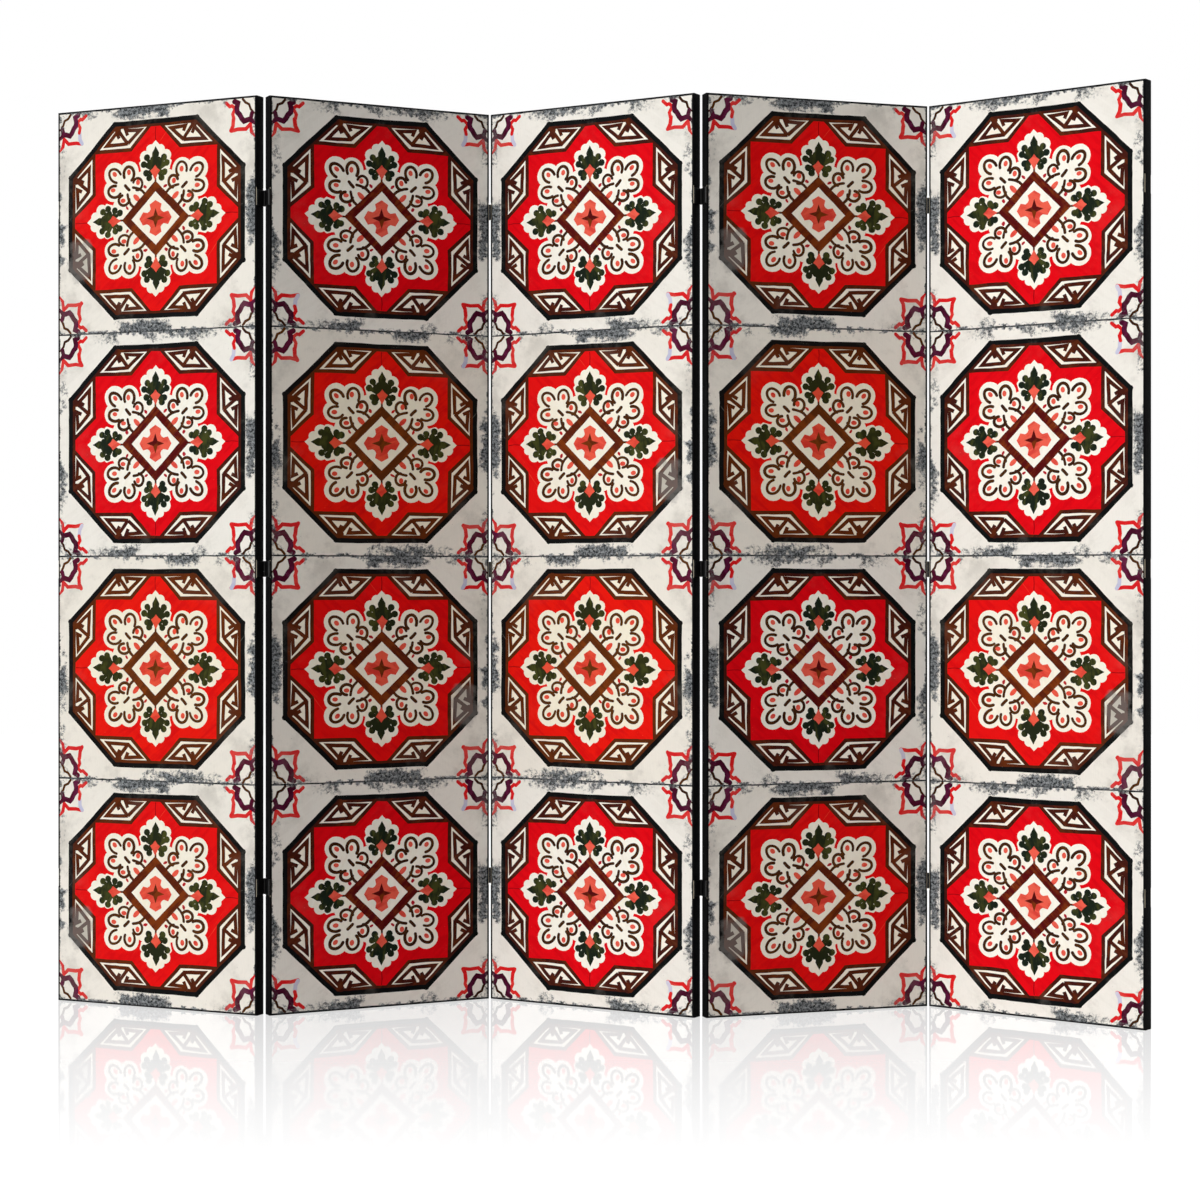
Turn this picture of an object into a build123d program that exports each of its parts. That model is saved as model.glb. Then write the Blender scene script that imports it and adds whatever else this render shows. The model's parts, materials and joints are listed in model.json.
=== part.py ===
from build123d import *
import os

# Folding screen of five equal panels, standing in a zigzag. Millimetres, Z up.
# The origin is the middle of the third panel's foot, and the front looks towards -Y.
# Panels are counted from the left as seen from the front.
# Each panel is a pine frame wrapped in printed canvas and closed behind by a plain cloth.
# Two-way steel hinges join the panels. Each has a leaf on either panel and a flap between
# them, with one line of pins just behind the panels and one just in front.

# Panel
panel_width = 450.0
panel_height = 1720.0
panel_depth = 25.0
canvas_thickness = 0.6
backing_thickness = 0.4
side_round = 3.0
rim_round = 2.0
turn_in = 28.0
backing_inset = 4.0

# Pine frame inside a panel
stile_width = 35.0
rail_width = 45.0
bar_width = 30.0
bar_depth = 15.0
bar_count = 2
tenon_thickness = 8.0
tenon_length = 15.0
tenon_shoulder = 6.0

# Staples through the backing and the turned canvas into the frame
staple_crown = 10.6
staple_wire_width = 1.25
staple_wire_thickness = 0.5
staple_leg = 8.0
staple_sink = 0.2
staple_edge = 12.0
staple_corner = 65.0
stile_staples = 15
rail_staples = 4

# Two-way hinges, with their middles above the floor
hinge_middles = (240.0, 835.0, 1530.0)
hinge_height = 30.0
knuckle_count = 3
plate_thickness = 0.8
plate_clearance = 0.3
pin_radius = 1.0
pin_clearance = 0.05
knuckle_wall = 1.15
knuckle_gap = 0.2
knuckle_relief = 0.4
pivot_outside = 0.5

# Countersunk hinge screws, a pair in each leaf
screw_length = 12.0
screw_shank_radius = 1.25
screw_head_radius = 2.6
screw_tip_length = 2.5
screw_tip_radius = 0.3
screw_clearance = 0.05
screw_spread = 18.0
screw_offset = 1.5
recess_width = 0.5
recess_length = 3.0
recess_depth = 0.8

# How the screen stands: the middle panel's heading, and each fold from the left
# with the faces that it brings together
middle_heading = -30.6
folds = (("back", 51.7), ("front", 57.7), ("back", 48.8), ("front", 55.9))

# Sizes that follow from these
panel_count = len(folds) + 1
middle = panel_count // 2
half_width = panel_width / 2
hinge_gap = 3 * plate_thickness + 2 * plate_clearance
pivot_x = half_width + hinge_gap / 2
pivot_y = panel_depth / 2 + pivot_outside
bore_radius = pin_radius + pin_clearance
knuckle_radius = bore_radius + knuckle_wall
knuckle_pitch = hinge_height / knuckle_count
plate_reach = pivot_y - knuckle_radius - knuckle_relief
wrap_depth = panel_depth - backing_thickness
wrap_y = -backing_thickness / 2
wrap_back = wrap_y + wrap_depth / 2
frame_width = panel_width - 2 * canvas_thickness
frame_height = panel_height - 2 * canvas_thickness
frame_depth = wrap_depth - 2 * canvas_thickness
frame_back = wrap_y + frame_depth / 2
stile_x = frame_width / 2 - stile_width / 2
clear_width = frame_width - 2 * stile_width
tenon_span = clear_width + 2 * tenon_length
rail_z = canvas_thickness + rail_width / 2
bar_y = frame_back - bar_depth / 2
head_depth = screw_head_radius - screw_shank_radius
neck_radius = screw_head_radius - plate_thickness + screw_clearance
head_x = half_width + plate_thickness

ON_FOOT = (Align.CENTER, Align.CENTER, Align.MIN)
HUNG = (Align.CENTER, Align.CENTER, Align.MAX)
FORWARD = (Align.CENTER, Align.MAX, Align.CENTER)


def keep(piece, name):
    """Labels a finished piece and writes it under its name."""
    piece.part.label = name
    export_step(piece.part, f"parts/{name}.step")


def turn_at(fold):
    """How far the panel on the right of a fold is turned from the one on its left."""
    closing, angle = folds[fold]
    return angle if closing == "back" else -angle


def pin_place(fold, side):
    """The working pins of a fold, as seen from the panel that has the fold on this side."""
    closing = folds[fold][0]
    return Vector(side * pivot_x, pivot_y if closing == "back" else -pivot_y, 0)


def panel_planes():
    """Where each panel stands: the middle one on the origin, the others from fold to fold."""
    headings = [middle_heading] * panel_count
    centres = [Vector(0, 0, 0)] * panel_count
    for i in range(middle, panel_count - 1):
        headings[i + 1] = headings[i] + turn_at(i)
        pin = centres[i] + pin_place(i, 1).rotate(Axis.Z, headings[i])
        centres[i + 1] = pin - pin_place(i, -1).rotate(Axis.Z, headings[i + 1])
    for i in range(middle, 0, -1):
        headings[i - 1] = headings[i] - turn_at(i - 1)
        pin = centres[i] + pin_place(i - 1, -1).rotate(Axis.Z, headings[i])
        centres[i - 1] = pin - pin_place(i - 1, 1).rotate(Axis.Z, headings[i - 1])
    return [
        Plane(origin=centre, x_dir=Vector(1, 0, 0).rotate(Axis.Z, heading), z_dir=(0, 0, 1))
        for centre, heading in zip(centres, headings)
    ]


def tenon_places():
    """Middle of each tenon's pair as (y, z, width up the stile), from the foot up."""
    rail_tenon = rail_width - 2 * tenon_shoulder
    bar_tenon = bar_width - 2 * tenon_shoulder
    places = [(wrap_y, rail_z, rail_tenon), (wrap_y, panel_height - rail_z, rail_tenon)]
    for z in bar_middles():
        places.append((bar_y, z, bar_tenon))
    return places


def bar_middles():
    return [panel_height * (i + 1) / (bar_count + 1) for i in range(bar_count)]


def screw_places(side):
    """Each hinge screw on one side of a panel, at its head's face and looking outwards."""
    spots = [z + up * screw_spread / 2 for z in hinge_middles for up in (-1, 1)]
    return [
        Location((side * head_x, side * -screw_offset, z), (0, side * 90, 0)) for z in spots
    ]


def hinge_knuckles(parity, height):
    """Heights of every other knuckle, 0 for the leaves' and 1 for the flap's."""
    lowest = height - (knuckle_count - 1) / 2 * knuckle_pitch
    return [lowest + i * knuckle_pitch for i in range(knuckle_count) if i % 2 == parity]


def knuckle_spots(x, y, parity):
    return [(x, y, z) for height in hinge_middles for z in hinge_knuckles(parity, height)]


def staple_places():
    """Each staple's place on the back, with its crown along the member that it is in."""
    along_stile = half_width - staple_edge
    along_rail = panel_height / 2 - staple_edge
    stile_pitch = (panel_height - 2 * staple_corner) / (stile_staples - 1)
    rail_pitch = (panel_width - 2 * staple_corner) / (rail_staples - 1)
    crown = panel_depth / 2 + staple_wire_thickness - staple_sink
    places = []
    for side in (-1, 1):
        for i in range(stile_staples):
            z = staple_corner + i * stile_pitch
            places.append(Location((side * along_stile, crown, z), (0, 90, 0)))
        for i in range(rail_staples):
            x = staple_corner - half_width + i * rail_pitch
            places.append(Location((x, crown, panel_height / 2 + side * along_rail)))
    return places


# The frame's outline and the canvas's outer skin, which shape the pieces of every panel
with BuildPart() as frame_form:
    with BuildSketch(Plane.XY.offset(canvas_thickness)):
        with Locations((0, wrap_y)):
            RectangleRounded(frame_width, frame_depth, side_round - canvas_thickness)
    extrude(amount=frame_height)
    frame_rims = frame_form.edges().group_by(Axis.Z)
    fillet(frame_rims[0] + frame_rims[-1], radius=rim_round - canvas_thickness)

with BuildPart() as wrap_form:
    with BuildSketch(Plane.XY):
        with Locations((0, wrap_y)):
            RectangleRounded(panel_width, wrap_depth, side_round)
    extrude(amount=panel_height)
    wrap_rims = wrap_form.edges().group_by(Axis.Z)
    fillet(wrap_rims[0] + wrap_rims[-1], radius=rim_round)


def make_stile(plane, name, side, hinged):
    with BuildPart(plane) as stile:
        with Locations((side * stile_x, wrap_y, canvas_thickness)):
            Box(stile_width, frame_depth, frame_height, align=ON_FOOT)
        add(frame_form.part, mode=Mode.INTERSECT)
        for y, z, width in tenon_places():
            with Locations((0, y, z)):
                Box(tenon_span, tenon_thickness, width, mode=Mode.SUBTRACT)
        if hinged:
            with Locations(screw_places(side)):
                Cylinder(
                    screw_shank_radius + screw_clearance, screw_length + screw_clearance,
                    align=HUNG, mode=Mode.SUBTRACT,
                )
    keep(stile, name)


def make_rail(plane, name, z):
    with BuildPart(plane) as rail:
        with Locations((0, wrap_y, z)):
            Box(clear_width, frame_depth, rail_width)
        add(frame_form.part, mode=Mode.INTERSECT)
        with Locations((0, wrap_y, z)):
            Box(tenon_span, tenon_thickness, rail_width - 2 * tenon_shoulder)
    keep(rail, name)


def make_cross_bars(plane, name):
    with BuildPart(plane) as bars:
        with Locations([(0, bar_y, z) for z in bar_middles()]):
            Box(clear_width, bar_depth, bar_width)
            Box(tenon_span, tenon_thickness, bar_width - 2 * tenon_shoulder)
    keep(bars, name)


def make_canvas(plane, name, hinged_sides):
    with BuildPart(plane) as canvas:
        add(wrap_form.part)
        add(frame_form.part, mode=Mode.SUBTRACT)
        with Locations((0, wrap_back, panel_height / 2)):
            Box(
                panel_width - 2 * turn_in, canvas_thickness, panel_height - 2 * turn_in,
                align=FORWARD, mode=Mode.SUBTRACT,
            )
        for side in hinged_sides:
            with Locations(screw_places(side)):
                Cylinder(
                    neck_radius, plate_thickness + 2 * canvas_thickness,
                    align=HUNG, mode=Mode.SUBTRACT,
                )
    keep(canvas, name)


def make_backing(plane, name):
    with BuildPart(plane) as backing:
        with Locations((0, panel_depth / 2, panel_height / 2)):
            Box(
                panel_width - 2 * backing_inset, backing_thickness,
                panel_height - 2 * backing_inset, align=FORWARD,
            )
    keep(backing, name)


def make_staples(plane, name):
    leg_x = (staple_crown - staple_wire_thickness) / 2
    with BuildPart(plane) as staples:
        with Locations(staple_places()):
            Box(staple_crown, staple_wire_thickness, staple_wire_width, align=FORWARD)
            with Locations((-leg_x, 0, 0), (leg_x, 0, 0)):
                Box(staple_wire_thickness, staple_leg, staple_wire_width, align=FORWARD)
    keep(staples, name)


def make_hinge_leaves(plane, name, hinged_sides):
    plate_end = pivot_y - pin_radius
    plate_length = plate_reach + plate_end
    with BuildPart(plane) as leaves:
        for side in hinged_sides:
            pin_x = side * pivot_x
            pin_y = side * pivot_y
            plate_x = side * (half_width + plate_thickness / 2)
            plate_y = side * (plate_end - plate_length / 2)
            with Locations([(plate_x, plate_y, z) for z in hinge_middles]):
                Box(plate_thickness, plate_length, hinge_height)
            with Locations(knuckle_spots(pin_x, pin_y, 1)):
                Cylinder(knuckle_radius + knuckle_relief, knuckle_pitch, mode=Mode.SUBTRACT)
            with Locations(knuckle_spots(pin_x, pin_y, 0)):
                Cylinder(knuckle_radius, knuckle_pitch - knuckle_gap)
                Cylinder(bore_radius, knuckle_pitch, mode=Mode.SUBTRACT)
            with Locations(screw_places(side)):
                CounterSinkHole(
                    screw_shank_radius + screw_clearance, screw_head_radius + screw_clearance,
                    depth=plate_thickness, counter_sink_angle=90,
                )
    keep(leaves, name)


def make_hinge_screws(plane, name, hinged_sides):
    shank_length = screw_length - head_depth - screw_tip_length
    with BuildPart(plane) as screws:
        for side in hinged_sides:
            with Locations(screw_places(side)):
                Cone(screw_shank_radius, screw_head_radius, head_depth, align=HUNG)
                with Locations((0, 0, -head_depth)):
                    Cylinder(screw_shank_radius, shank_length, align=HUNG)
                with Locations((0, 0, -head_depth - shank_length)):
                    Cone(screw_tip_radius, screw_shank_radius, screw_tip_length, align=HUNG)
                Box(recess_length, recess_width, recess_depth, align=HUNG, mode=Mode.SUBTRACT)
                Box(recess_width, recess_length, recess_depth, align=HUNG, mode=Mode.SUBTRACT)
    keep(screws, name)


def make_flaps(plane, name):
    with BuildPart(plane) as flaps:
        with Locations([(0, 0, z) for z in hinge_middles]):
            Box(plate_thickness, 2 * pivot_y, hinge_height)
        for pin_y in (-pivot_y, pivot_y):
            with Locations(knuckle_spots(0, pin_y, 0)):
                Cylinder(knuckle_radius + knuckle_relief, knuckle_pitch, mode=Mode.SUBTRACT)
            with Locations(knuckle_spots(0, pin_y, 1)):
                Cylinder(knuckle_radius, knuckle_pitch - knuckle_gap)
                Cylinder(bore_radius, knuckle_pitch, mode=Mode.SUBTRACT)
    keep(flaps, name)


def make_pins(plane, name):
    with BuildPart(plane) as pins:
        with Locations([(0, y, z) for y in (-pivot_y, pivot_y) for z in hinge_middles]):
            Cylinder(pin_radius, hinge_height)
    keep(pins, name)


def make_panel(number, plane):
    """Every piece of one panel, with hinge leaves where it has a neighbour."""
    panel = f"panel_{number}"
    hinged_sides = [s for s in (-1, 1) if 1 <= number + s <= panel_count]
    make_stile(plane, f"{panel}_stile_left", -1, -1 in hinged_sides)
    make_stile(plane, f"{panel}_stile_right", 1, 1 in hinged_sides)
    make_rail(plane, f"{panel}_top_rail", panel_height - rail_z)
    make_rail(plane, f"{panel}_bottom_rail", rail_z)
    make_cross_bars(plane, f"{panel}_cross_bars")
    make_canvas(plane, f"{panel}_canvas", hinged_sides)
    make_backing(plane, f"{panel}_backing")
    make_staples(plane, f"{panel}_staples")
    make_hinge_leaves(plane, f"{panel}_hinge_leaves", hinged_sides)
    make_hinge_screws(plane, f"{panel}_hinge_screws", hinged_sides)


def make_fold(fold, planes):
    """The flaps and pins of one fold. A flap lies along the panel whose pins aren't working."""
    closes_behind = folds[fold][0] == "back"
    carrier = planes[fold + 1] if closes_behind else planes[fold]
    side = -1 if closes_behind else 1
    place = carrier.from_local_coords(Vector(side * pivot_x, 0, 0))
    plane = Plane(origin=place, x_dir=carrier.x_dir, z_dir=carrier.z_dir)
    make_flaps(plane, f"fold_{fold + 1}_{fold + 2}_hinge_flaps")
    make_pins(plane, f"fold_{fold + 1}_{fold + 2}_hinge_pins")
    for word, y in (("front", -pivot_y), ("back", pivot_y)):
        pin = plane.from_local_coords(Vector(0, y, 0))
        print(f"fold {fold + 1}-{fold + 2} {word} pins at {pin.X:.6f}, {pin.Y:.6f}")


os.makedirs("parts", exist_ok=True)
panels = panel_planes()
for index, stand in enumerate(panels):
    make_panel(index + 1, stand)
for index in range(panel_count - 1):
    make_fold(index, panels)
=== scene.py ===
"""Dresses a five-panel folding screen: printed canvas, black sides, backing cloth, pine and steel."""
import json
import math
import random

import bmesh
import bpy
import numpy as np
from bpy.props import FloatProperty, FloatVectorProperty, PointerProperty
from mathutils import Matrix, Vector, geometry, noise

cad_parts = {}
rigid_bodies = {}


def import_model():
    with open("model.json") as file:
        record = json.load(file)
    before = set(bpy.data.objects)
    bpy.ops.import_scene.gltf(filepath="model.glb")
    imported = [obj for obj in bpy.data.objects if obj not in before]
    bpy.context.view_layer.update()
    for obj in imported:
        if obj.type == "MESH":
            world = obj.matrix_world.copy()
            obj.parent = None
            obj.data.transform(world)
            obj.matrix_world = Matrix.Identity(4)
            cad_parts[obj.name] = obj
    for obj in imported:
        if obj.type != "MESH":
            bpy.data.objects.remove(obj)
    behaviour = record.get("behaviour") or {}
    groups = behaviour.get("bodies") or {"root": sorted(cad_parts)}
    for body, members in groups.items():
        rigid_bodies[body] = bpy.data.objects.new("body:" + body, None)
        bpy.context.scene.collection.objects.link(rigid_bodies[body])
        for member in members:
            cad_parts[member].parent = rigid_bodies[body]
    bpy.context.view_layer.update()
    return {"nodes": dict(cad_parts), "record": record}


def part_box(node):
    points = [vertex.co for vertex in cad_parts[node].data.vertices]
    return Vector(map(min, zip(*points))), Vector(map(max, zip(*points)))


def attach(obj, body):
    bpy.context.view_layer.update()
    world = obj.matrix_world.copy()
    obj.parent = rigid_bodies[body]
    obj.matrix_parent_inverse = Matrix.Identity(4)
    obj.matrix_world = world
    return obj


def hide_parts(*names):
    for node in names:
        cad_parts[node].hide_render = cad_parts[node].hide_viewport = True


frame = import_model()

bl_info = {
    "name": "Folding screen finish",
    "version": (1, 0, 0),
    "blender": (4, 5, 0),
    "location": "3D View > Sidebar > Folding screen",
    "description": "Printed canvas, backing cloth, pine and steel for a screen of five hinged panels",
    "category": "Object",
}

PANELS = range(1, 6)
FOLDS = ("1_2", "2_3", "3_4", "4_5")
MM = 0.001


# Places and sizes read from the frame

def panel_place(number):
    """The matrix from a panel's own axes, x across, y to the back and z up from its foot, to the row's."""
    left, right = (sum(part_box(f"panel_{number}_stile_{side}"), Vector()) / 2 for side in ("left", "right"))
    foot = next(m["pos_m"] for m in frame["record"]["mounts"] if m["name"] == f"panel_{number}_foot")
    across = right - left
    return Matrix.Translation(foot) @ Matrix.Rotation(math.atan2(across.y, across.x), 4, "Z")


def local_box(node, number):
    """Lowest and highest corner of a CAD node in its panel's own axes."""
    back = panel_place(number).inverted()
    points = [back @ v.co for v in frame["nodes"][node].data.vertices]
    return (Vector([min(p[i] for p in points) for i in range(3)]),
            Vector([max(p[i] for p in points) for i in range(3)]))


def hinge_spans():
    """Lowest and highest point of each hinge of a fold, from the bottom up."""
    between_hinges = 100 * MM
    nodes = ("panel_1_hinge_leaves", "fold_1_2_hinge_flaps", "fold_1_2_hinge_pins")
    heights = sorted({v.co.z for node in nodes for v in frame["nodes"][node].data.vertices})
    breaks = [i for i in range(1, len(heights)) if heights[i] - heights[i - 1] > between_hinges]
    return [(heights[a], heights[b - 1]) for a, b in zip([0, *breaks], [*breaks, len(heights)])]


CANVAS_LOW, CANVAS_HIGH = local_box("panel_3_canvas", 3)
BACKING_LOW, BACKING_HIGH = local_box("panel_3_backing", 3)
ROWS = 4

# Black cloth that shows in front beside the print, and above and below it
SIDE_BORDER, END_BORDER = 4 * MM, 2.5 * MM

TILE_WIDE = CANVAS_HIGH.x - CANVAS_LOW.x
TILE_TALL = (CANVAS_HIGH.z - CANVAS_LOW.z - 2 * END_BORDER) / ROWS
FIELD_HALF = TILE_WIDE / 2 - SIDE_BORDER
ROUND_STEPS = 5

# At a hinge's height the upright edges are rounder, with room to spare and a run that leads to the crisp edge
HINGE_SPARE, HINGE_RUN = 1 * MM, 2 * MM
HINGE_ZONES = [(low - HINGE_SPARE, high + HINGE_SPARE) for low, high in hinge_spans()]


def shown(red, green, blue):
    """A colour given as it looks on a screen, 0 to 255, in the linear values that Blender works in."""
    def linear(value):
        share = value / 255
        return share / 12.92 if share <= 0.04045 else ((share + 0.055) / 1.055) ** 2.4
    return (linear(red), linear(green), linear(blue), 1.0)


# What a user would change

def colour_setting(label, text, default):
    """A colour that the user can change."""
    return FloatVectorProperty(name=label, description=text, default=default, size=4, min=0, max=1,
                               subtype="COLOR")


def length_setting(label, text, default):
    """A length that the user can change."""
    return FloatProperty(name=label, description=text, default=default, min=0, precision=5, unit="LENGTH",
                         subtype="DISTANCE")


class PrintSettings(bpy.types.PropertyGroup):
    """The printed tile ornament."""
    grout: length_setting("Grout", "Dark joint between two tiles", 3 * MM)
    wobble: length_setting("Brush wobble", "How far the painted lines stray", 0.9 * MM)
    cream: colour_setting("Cream", "Ground of the tiles", shown(245, 241, 232))
    red: colour_setting("Red", "The eight-pointed star", shown(232, 2, 18))
    brown: colour_setting("Brown", "Bands and frets", shown(62, 20, 12))
    black: colour_setting("Black", "Outer band of the octagon", shown(5, 8, 8))
    green: colour_setting("Green", "Leaves", shown(22, 32, 21))
    salmon: colour_setting("Salmon", "Flowers and dots", shown(240, 98, 78))
    maroon: colour_setting("Maroon", "Rings in the tile corners", shown(66, 6, 34))


class ClothSettings(bpy.types.PropertyGroup):
    """Canvas and backing cloth."""
    thickness: length_setting("Canvas thickness", "Printed canvas", 0.6 * MM)
    edge_round: length_setting("Edge rounding", "Radius of the wrapped upright edges", 1.2 * MM)
    hinge_round: length_setting("Hinge rounding", "Radius of the upright edges beside a hinge", 3 * MM)
    end_round: length_setting("End rounding", "Radius of the wrapped top and bottom edges", 1.2 * MM)
    margin: length_setting("Turned-in margin", "Canvas turned in behind the frame", 28 * MM)
    thread: length_setting("Thread pitch", "Distance between two threads", 0.9 * MM)
    side: colour_setting("Side colour", "Sides, borders and margin", shown(8, 8, 9))
    backing: colour_setting("Backing colour", "Cloth on the back", shown(30, 30, 32))


class StageSettings(bpy.types.PropertyGroup):
    """Camera, floor and light."""
    focal: FloatProperty(name="Lens", description="Focal length on a 36 mm sensor, in millimetres",
                         default=78.6, min=1)
    eye: FloatVectorProperty(name="Camera place", description="Where the camera stands", size=3,
                             subtype="XYZ", unit="LENGTH", default=(0.0128, -4.9953, 0.8076))
    shift: FloatProperty(name="Camera shift", description="Upward shift, as a share of the frame",
                         default=-0.0137)
    key: FloatProperty(name="Key light", description="Strength of the light from the front left",
                       default=3.15, min=0)
    fill: FloatProperty(name="Fill light", description="Strength of the light from all round",
                        default=0.085, min=0)


# Node helpers

class Net:
    """Adds nodes to a tree. A value may be a number, a tuple, a data block or another node's socket."""

    def __init__(self, tree):
        self.tree = tree

    def fill(self, sockets, values):
        """Sets or links input sockets, by name or number."""
        for name, value in dict(values).items():
            if isinstance(value, bpy.types.NodeSocket):
                self.tree.links.new(value, sockets[name])
            else:
                sockets[name].default_value = value

    def add(self, kind, inputs=(), **settings):
        """A new node, with settings for its own options."""
        node = self.tree.nodes.new(kind)
        for name, value in settings.items():
            setattr(node, name, value)
        self.fill(node.inputs, inputs)
        return node

    def group(self, name, inputs):
        """What a shader group gives."""
        return self.add("ShaderNodeGroup", inputs, node_tree=bpy.data.node_groups[name]).outputs

    def calc(self, operation, *values, clamp=False):
        """A Math node's result."""
        return self.add("ShaderNodeMath", enumerate(values), operation=operation, use_clamp=clamp).outputs[0]

    def times(self, first, second, clamp=False):
        """The product of two numbers."""
        return self.calc("MULTIPLY", first, second, clamp=clamp)

    def plus(self, first, second, clamp=False):
        """The sum of two numbers."""
        return self.calc("ADD", first, second, clamp=clamp)

    def vector(self, operation, *values):
        """A Vector Math node's vector result."""
        return self.add("ShaderNodeVectorMath", enumerate(values), operation=operation).outputs[0]

    def parts(self, vector):
        """The x, y and z of a vector."""
        return self.add("ShaderNodeSeparateXYZ", {0: vector}).outputs

    def mix(self, share, first, second):
        """A number between two others by a share."""
        return self.add("ShaderNodeMix", {0: share, 2: first, 3: second}, data_type="FLOAT").outputs[0]

    def blend(self, share, first, second, kind="MIX"):
        """The second colour laid over the first by a share."""
        inputs = {0: share, 6: first, 7: second}
        return self.add("ShaderNodeMix", inputs, data_type="RGBA", blend_type=kind).outputs[2]

    def ramp(self, value, low, high, to_low=0.0, to_high=1.0, kind="SMOOTHSTEP"):
        """A step from one level to another."""
        inputs = {"Value": value, "From Min": low, "From Max": high, "To Min": to_low, "To Max": to_high}
        return self.add("ShaderNodeMapRange", inputs, interpolation_type=kind).outputs[0]

    def cloud(self, vector, scale, detail=2.0, rough=0.5, distortion=0.0):
        """A Noise texture's value."""
        inputs = {"Vector": vector, "Scale": scale, "Detail": detail, "Roughness": rough, "Distortion": distortion}
        return self.add("ShaderNodeTexNoise", inputs).outputs[0]

    def stretched(self, vector, angle, scale):
        """The vector turned about Z and then scaled."""
        turned = self.add("ShaderNodeMapping", {"Vector": vector, "Rotation": (0, 0, angle)}).outputs[0]
        return self.vector("MULTIPLY", turned, scale)


def shader_group(name, inputs, outputs):
    """An empty shader group whose inputs and outputs are given as name and kind."""
    tree = bpy.data.node_groups.new(name, "ShaderNodeTree")
    for side, sockets in (("INPUT", inputs), ("OUTPUT", outputs)):
        for label, kind in sockets.items():
            tree.interface.new_socket(label, in_out=side, socket_type="NodeSocket" + kind)
    return Net(tree), tree.nodes.new("NodeGroupInput").outputs, tree.nodes.new("NodeGroupOutput").inputs


# Shader groups that several materials share

FINISH = {"Color": "Color", "Roughness": "Float", "Height": "Float"}


def make_weave_group():
    """Plain weave: one thread over and one under, both ways."""
    net, given, out = shader_group("plain_weave", {"Cloth": "Vector", "Pitch": "Float"},
                                   {"Height": "Float", "Thread": "Float"})
    count = net.calc("DIVIDE", 1.0, given["Pitch"])
    cells = net.add("ShaderNodeVectorMath", {0: given["Cloth"], "Scale": count}, operation="SCALE").outputs[0]
    drift = net.add("ShaderNodeTexNoise", {"Vector": cells, "Scale": 0.11, "Detail": 1.0}).outputs[1]
    cells = net.vector("MULTIPLY_ADD", drift, (0.9, 0.9, 0.0), cells)
    x, y, _ = net.parts(cells)
    warp, weft = (net.calc("ABSOLUTE", net.calc("SINE", net.times(along, math.pi))) for along in (x, y))
    over = net.add("ShaderNodeTexChecker", {"Vector": cells, "Scale": 1.0}).outputs[1]
    slub = net.cloud(net.stretched(cells, 0.0, (1.0, 0.04, 1.0)), 1.0, 2.0)
    net.fill(out, {"Height": net.mix(over, warp, weft), "Thread": slub})


def make_age_group():
    """Dirt along a tile's edges, flecks, fine scratches and stains, in half-tile units."""
    outputs = dict.fromkeys(("Grime", "Flecks", "Scratches", "Stain"), "Float")
    net, given, out = shader_group("tile_age", {"Tile": "Vector"}, outputs)
    tile = given["Tile"]
    x, y, _ = net.parts(net.vector("ABSOLUTE", tile))
    edge, off_middle = net.calc("MAXIMUM", x, y), net.calc("MINIMUM", x, y)
    patch = net.ramp(off_middle, 0.15, 0.62, 1.0, 0.34)
    broad = net.ramp(net.cloud(tile, 2.6, 3.0, 0.6), 0.42, 0.6)
    level = net.times(net.ramp(edge, 0.84, 0.98), net.times(patch, broad))
    rim = net.times(net.ramp(edge, 0.955, 1.0), net.ramp(net.cloud(tile, 7.0, 4.0), 0.4, 0.62))
    level = net.calc("MAXIMUM", level, net.times(rim, 0.75))
    speckle = net.plus(net.cloud(tile, 28.0, 6.0, 0.78), net.times(level, 0.45))
    grime = net.times(net.ramp(speckle, 0.58, 0.76), net.ramp(level, 0.04, 0.3))
    cells = net.add("ShaderNodeTexVoronoi", {"Vector": tile, "Scale": 26.0, "Randomness": 1.0})
    chip = net.ramp(cells.outputs["Distance"], 0.1, 0.04)
    rare = net.ramp(net.cloud(tile, 9.0, 3.0, 0.7), 0.56, 0.64)
    fine = net.ramp(net.cloud(tile, 120.0, 2.0, 0.6), 0.7, 0.76)
    flecks = net.calc("MAXIMUM", net.times(chip, rare), net.times(fine, 0.5))
    lines = net.cloud(net.stretched(tile, 0.9, (2.0, 70.0, 1.0)), 1.0, 2.0, 0.5, 0.4)
    where = net.ramp(net.cloud(tile, 3.2, 2.0), 0.55, 0.68)
    scratches = net.times(net.ramp(lines, 0.69, 0.75), where)
    smudge = net.ramp(net.cloud(tile, 2.3, 5.0, 0.68), 0.5, 0.72)
    stain = net.times(smudge, net.ramp(edge, 0.5, 0.98, 0.2, 1.0))
    net.fill(out, {"Grime": grime, "Flecks": flecks, "Scratches": scratches, "Stain": stain})


STAIN_TONE, SCAR_TONE, LINT_TONE = shown(160, 154, 144), shown(128, 124, 120), shown(120, 118, 114)
DARK_DIRT, PALE_DIRT = shown(34, 38, 40), shown(156, 160, 162)

# A greyed scar on the second tile variant, in half-tile units: its middle, and how steeply it fades off
SCAR_PLACE, SCAR_FALL = (0.76, -0.34, 0.0), (7.0, 4.6, 0.0)

INK_INPUTS = {"Tone": "Color", "Other Tone": "Color", "Streak Tone": "Color", "Streaks": "Float",
              "Angle": "Float", "Worn Tone": "Color", "Wear": "Float", "Dirt": "Float"}


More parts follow.
